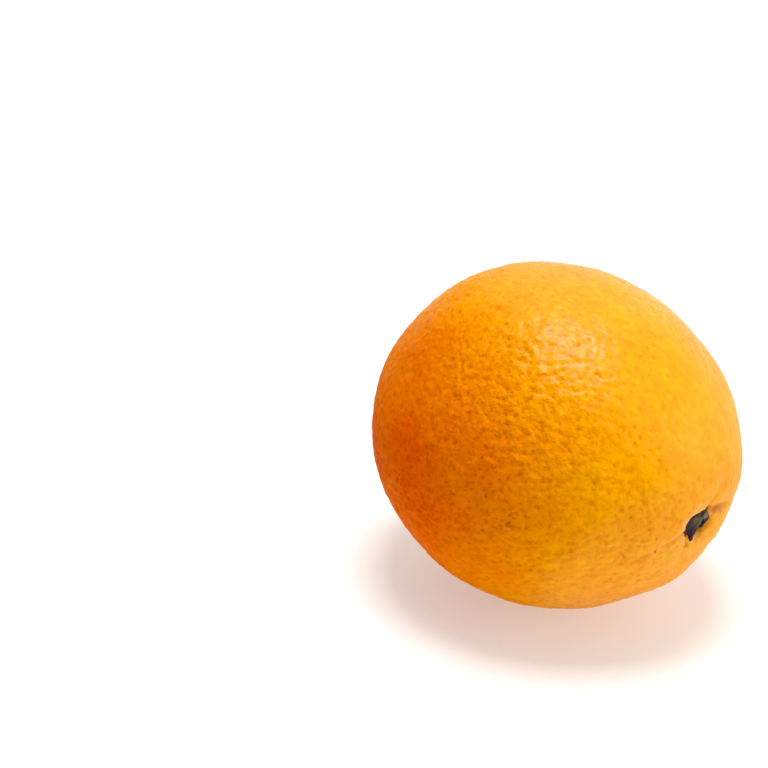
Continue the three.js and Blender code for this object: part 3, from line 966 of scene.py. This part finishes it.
def sepal_topside(fruit, radius, tip):
    """Height of the sepals' topside, which thin towards their tips."""
    return sepal_underside(fruit, radius) + SEPAL_THICKNESS * (1 - SEPAL_THINNING * (radius / tip) ** 2)


def button_outline(fruit, tip, stem):
    """Radius and height of the button's rows, from under its middle round to the cut."""
    below = np.linspace(BUTTON_CORE, tip - SEPAL_EDGE, BELOW_ROWS)
    edge = tip - SEPAL_EDGE + SEPAL_EDGE * np.sin(np.linspace(*SEPAL_EDGE_TURN, EDGE_ROWS))
    lift = np.linspace(0, 1, EDGE_ROWS + 2)[1:-1]
    edge_height = sepal_underside(fruit, edge) * (1 - lift) + sepal_topside(fruit, edge, tip) * lift
    above = np.linspace(tip - SEPAL_EDGE, stem + SEPAL_FOOT, ABOVE_ROWS)
    neck = sepal_topside(fruit, stem, tip)
    top = sepal_topside(fruit, 0, tip) + STEM_HEIGHT
    hollow = np.linspace(stem - STEM_RIM, BUTTON_CORE, HOLLOW_ROWS)
    return np.concatenate([
        np.stack([below, sepal_underside(fruit, below)], axis=1),
        np.stack([edge, edge_height], axis=1),
        np.stack([above, sepal_topside(fruit, above, tip)], axis=1),
        [(stem + out, neck + up) for out, up in STEM_NECK],
        [(stem - inwards, top - down) for inwards, down in STEM_BEVEL],
        np.stack([hollow, top - STEM_HOLLOW * (1 - (hollow / stem) ** 2)], axis=1),
    ])


class ORANGE_OT_button(bpy.types.Operator):
    """Make the dry calyx and the cut stem at the far end"""

    bl_idname = "orange.button"
    bl_label = "Stem button"

    def execute(self, context):
        settings = context.scene.orange_button
        fruit = Fruit(context.scene.orange_peel)
        tip, stem = settings.sepal_radius / MM, settings.stem_radius / MM
        outline = button_outline(fruit, tip, stem)
        rows = len(outline)
        row = np.arange(rows)
        around = np.linspace(0, 2 * math.pi, BUTTON_SIDES, endpoint=False)
        radius, angle = np.meshgrid(outline[:, 0], around, indexing="ij")
        height = np.repeat(outline[:, 1:], BUTTON_SIDES, axis=1)

        outer = np.clip((radius - stem - SEPAL_ROOT) / (tip - stem - SEPAL_ROOT), 0, 1)
        wander = angle + sum(
            stray["reach"] * np.sin(stray["waves"] * angle + stray["phase"]) for stray in SEPAL_STRAY)
        lobe = (0.5 + 0.5 * np.cos(SEPALS * wander)) ** SEPAL_BLUNTNESS
        reach = 1 - (1 - lobe) * (1 - SEPAL_NOTCH / tip) * outer ** SEPAL_NOTCH_CURVE
        wide = radius * BUTTON_CRUMPLES
        spots = np.stack([wide * np.cos(angle), wide * np.sin(angle), height], axis=-1)
        rough = crumple(spots.reshape(-1, 3)).reshape(radius.shape)
        veins = np.cos(VEINS_TO_SEPAL * SEPALS * wander + VEIN_STRAY * rough)
        veins *= outer * (1 - VEIN_FADE * outer)
        ridge = (lobe - 0.5) * outer
        on_top = (row >= BELOW_ROWS + EDGE_ROWS // 2)[:, None]
        relief = BUTTON_CRUMPLE_HEIGHT * rough + VEIN_HEIGHT * veins + RIDGE_HEIGHT * ridge
        drop = sepal_underside(fruit, radius * reach) - sepal_underside(fruit, radius)
        height = height + drop * outer + on_top * relief
        across, up = radius * reach * np.cos(angle), radius * reach * np.sin(angle)

        turn = np.array(Vector((0, 1, 0)).rotation_difference(Vector(-fruit.out)).to_matrix())
        local = np.stack([across.ravel(), height.ravel(), up.ravel()], axis=1)
        base = -fruit.out * (fruit.end_radius + fruit.unevenness(-fruit.out[None])[0])
        points = (local @ turn.T + base + (0, 0, fruit.rest_height)) * MM
        withered = WITHERED_TIPS * outer ** WITHERED_SHARPNESS + WITHERED_PATCHES * rough * outer
        masks = {
            "cut": np.repeat(row >= rows - HOLLOW_ROWS - 1, BUTTON_SIDES),
            "crease": np.clip(outer * (1 - lobe) ** 2, 0, 1).ravel(),
            "withered": np.clip(withered, 0, 1).ravel(),
        }
        piece = make_mesh("stem_button_dry", points, ring_faces(rows, BUTTON_SIDES), masks)
        piece.data.materials.append(dry_material("dry_calyx", settings.sepal_colour, [
            ("crease", settings.crease_colour),
            ("withered", settings.withered_colour),
            ("cut", settings.stem_colour),
        ]))
        settle(piece, "stem_button")
        return {"FINISHED"}


def floor_material(stage):
    """Pale floor, faintly mottled, that glows more the farther it is from the fruit."""
    material, n, shader = new_material("pale_floor")
    place = n.add("ShaderNodeTexCoord").outputs["Object"]
    broad, fine = n.mottle(place, FLOOR_BLOTCHES)
    shade = n.math("MULTIPLY", n.math("ADD", broad, fine), FLOOR_STAIN_SHARE)
    far = n.vector("DISTANCE", place, (0, 0, 0))
    n.feed_all(shader, {
        "Base Color": n.mix(shade, stage.floor_colour, colour(FLOOR_STAIN)),
        "Roughness": n.ramp(fine, 0.0, 1.0, *FLOOR_ROUGHNESS),
        "Emission Color": n.ramp(far, *GLOW_RISE, stage.floor_glow, GLOW_FAR),
        "Emission Strength": 1.0,
    })
    return material


def add_softbox(box, power, azimuth, target):
    """A square area light that faces the fruit, turned from the camera's side and raised."""
    turned = azimuth + math.radians(box["turn"])
    raised = math.radians(box["height"])
    towards = Vector((
        math.sin(turned) * math.cos(raised), -math.cos(turned) * math.cos(raised), math.sin(raised)))
    light = bpy.data.lights.new(box["name"], "AREA")
    light.shape = "SQUARE"
    light.size = box["size"]
    light.energy = power
    lamp = bpy.data.objects.new(box["name"], light)
    lamp.location = target + towards * box["distance"]
    lamp.rotation_euler = towards.to_track_quat("Z", "Y").to_euler()
    bpy.context.scene.collection.objects.link(lamp)


def white_room(stage):
    """A room that is brighter on one side, and plain white where the camera sees it."""
    world = bpy.data.worlds.new("white_room")
    world.use_nodes = True
    n = Nodes(world.node_tree)
    background = world.node_tree.nodes["Background"]
    direction = n.add("ShaderNodeTexCoord").outputs["Generated"]
    lit = n.ramp(n.along(direction, ROOM_BRIGHT_SIDE), *ROOM_RUN, stage.dim_side, stage.bright_side)
    seen = n.add("ShaderNodeLightPath").outputs["Is Camera Ray"]
    n.feed_all(background, {"Strength": n.math("MAXIMUM", lit, seen), "Color": WHITE})
    return world


def add_camera(stage, centre):
    """A camera that has the fruit's centre at a set place in its view."""
    azimuth, elevation = stage.azimuth, stage.elevation
    level = math.cos(elevation)
    right = Vector((math.cos(azimuth), math.sin(azimuth), 0))
    ahead = Vector((-math.sin(azimuth) * level, math.cos(azimuth) * level, -math.sin(elevation)))
    up = right.cross(ahead)
    lens = bpy.data.cameras.new("camera")
    lens.lens = stage.lens
    lens.clip_start = CAMERA_NEAR
    camera = bpy.data.objects.new("camera", lens)
    shift = stage.fruit_in_view
    spot = centre - right * shift[0] - up * shift[1] - ahead * shift[2]
    turn = Matrix((right, up, -ahead)).transposed().to_4x4()
    camera.matrix_world = Matrix.Translation(spot) @ turn
    bpy.context.scene.collection.objects.link(camera)
    return camera


class ORANGE_OT_stage(bpy.types.Operator):
    """Make the pale floor, the soft light and the camera"""

    bl_idname = "orange.stage"
    bl_label = "Stage"

    def execute(self, context):
        stage = context.scene.orange_stage
        fruit = Fruit(context.scene.orange_peel)
        centre = Vector((0, 0, fruit.rest_height * MM))
        corners = np.array([(-1, -1, 0), (1, -1, 0), (1, 1, 0), (-1, 1, 0)])
        floor = make_mesh("floor", corners * FLOOR_REACH, [(0, 1, 2, 3)])
        floor.data.materials.append(floor_material(stage))
        for box, power in zip(SOFTBOXES, (stage.key_power, stage.fill_power)):
            add_softbox(box, power, stage.azimuth, centre)
        context.scene.world = white_room(stage)
        context.scene.camera = add_camera(stage, centre)
        view = context.scene.view_settings
        view.view_transform = "Standard"
        view.exposure = stage.exposure
        view.use_curve_mapping = True
        view.curve_mapping.black_level = (stage.black_level,) * 3
        view.curve_mapping.update()
        return {"FINISHED"}


class ORANGE_PT_panel(bpy.types.Panel):
    """Lists the steps that build the orange."""

    bl_idname = "ORANGE_PT_panel"
    bl_label = "Orange"
    bl_space_type = "VIEW_3D"
    bl_region_type = "UI"
    bl_category = "Orange"

    def draw(self, context):
        for operator in OPERATORS:
            self.layout.operator(operator.bl_idname)


SETTINGS = {
    "orange_peel": PeelSettings,
    "orange_remnant": RemnantSettings,
    "orange_button": ButtonSettings,
    "orange_stage": StageSettings,
}
OPERATORS = (ORANGE_OT_peel, ORANGE_OT_remnant, ORANGE_OT_button, ORANGE_OT_stage)
CLASSES = (*SETTINGS.values(), *OPERATORS, ORANGE_PT_panel)


def register():
    """Adds the classes and the scene's settings."""
    for item in CLASSES:
        bpy.utils.register_class(item)
    for name, group in SETTINGS.items():
        setattr(bpy.types.Scene, name, bpy.props.PointerProperty(type=group))


def unregister():
    """Removes them again."""
    for name in SETTINGS:
        delattr(bpy.types.Scene, name)
    for item in reversed(CLASSES):
        bpy.utils.unregister_class(item)


def main():
    """Builds the orange and its stage."""
    register()
    bpy.ops.orange.peel()
    bpy.ops.orange.remnant()
    bpy.ops.orange.button()
    bpy.ops.orange.stage()
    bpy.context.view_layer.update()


if __name__ == "__main__":
    main()
